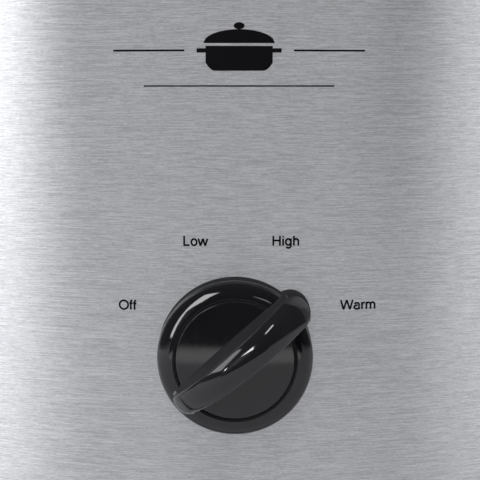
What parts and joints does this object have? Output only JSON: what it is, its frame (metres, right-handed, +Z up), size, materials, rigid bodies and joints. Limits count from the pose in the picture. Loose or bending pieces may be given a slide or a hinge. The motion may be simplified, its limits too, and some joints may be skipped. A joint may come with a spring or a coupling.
{
  "type": "slow cooker",
  "caption": "Oval countertop slow cooker with a brushed steel wrap, rotary heat control, lift-out stoneware crock and domed glass lid.",
  "frame": {"origin": "centre of the bounding box at the underside of the feet", "axes": "+X to the right as seen from the front, along the long side between the handles; +Y towards the rear, where the cord leaves; +Z up. The control knob faces -Y."},
  "size_m": [0.428, 0.2989, 0.2504],
  "materials": {
    "wrap_steel": "horizontally brushed stainless steel",
    "well_steel": "dark grey coated steel liner",
    "black_plastic": "fine textured moulded plastic",
    "gloss_black": "polished black phenolic",
    "foot_rubber": "matte rubber",
    "plated_steel": "zinc plated steel",
    "shield_aluminium": "mill finish sheet",
    "brass": "bare brass",
    "heater_foil": "foil faced heater band",
    "switch_plastic": "heat resistant moulded plastic",
    "phenolic": "phenolic board",
    "block_plastic": "moulded nylon",
    "stoneware": "glossy black glaze",
    "lid_glass": "clear tempered glass",
    "seal_silicone": "silicone",
    "wire_black": "silicone insulation",
    "wire_red": "silicone insulation",
    "wire_blue": "silicone insulation",
    "wire_orange": "silicone insulation",
    "wire_white": "silicone insulation"
  },
  "bodies": {
    "housing": {"outer_wrap": "wrap_steel", "heating_well": "well_steel", "base_ring": "black_plastic", "bottom_plate": "plated_steel", "bottom_screws": "plated_steel", "rubber_feet": "foot_rubber", "side_handle_left": "black_plastic", "side_handle_right": "black_plastic", "handle_screws": "plated_steel", "handle_washers": "plated_steel", "heater_band": "heater_foil", "heater_springs": "plated_steel", "heat_shield": "shield_aluminium", "bolt_spacers": "plated_steel", "centre_bolt": "plated_steel", "centre_washer": "plated_steel", "centre_nut": "plated_steel", "switch_bracket": "plated_steel", "bracket_screws": "plated_steel", "switch_body": "switch_plastic", "switch_back": "phenolic", "switch_bushing": "brass", "switch_washer": "plated_steel", "switch_nut": "brass", "switch_terminals": "brass", "detent_spring": "plated_steel", "thermal_fuse": "plated_steel", "fuse_clip": "plated_steel", "terminal_block": "block_plastic", "terminal_screws": "brass", "cord_gland": "black_plastic", "wire_line": "wire_black", "wire_fused": "wire_black", "wire_low": "wire_red", "wire_high": "wire_blue", "wire_warm": "wire_orange", "wire_neutral": "wire_white"},
    "control": {"control_knob": "gloss_black", "knob_clip": "plated_steel", "switch_shaft": "plated_steel", "switch_rotor": "block_plastic", "rotor_contact": "brass"},
    "crock": {"crock": "stoneware"},
    "lid": {"lid_glass": "lid_glass", "lid_knob": "gloss_black", "lid_knob_seal": "seal_silicone", "lid_knob_washer": "plated_steel", "lid_knob_screw": "plated_steel"}
  },
  "joints": [
    {"name": "crock_lift", "type": "slide", "parent": "housing", "child": "crock", "axis": [0, 0, 1], "range_m": [0, 0.16]},
    {"name": "lid_lift", "type": "slide", "parent": "crock", "child": "lid", "axis": [0, 0, 1], "range_m": [0, 0.12]},
    {"name": "knob_turn", "type": "hinge", "parent": "housing", "child": "control", "pos_m": [0, -0.12185, 0.068], "axis": [0, -1, 0], "range_deg": [0, 100]}
  ]
}
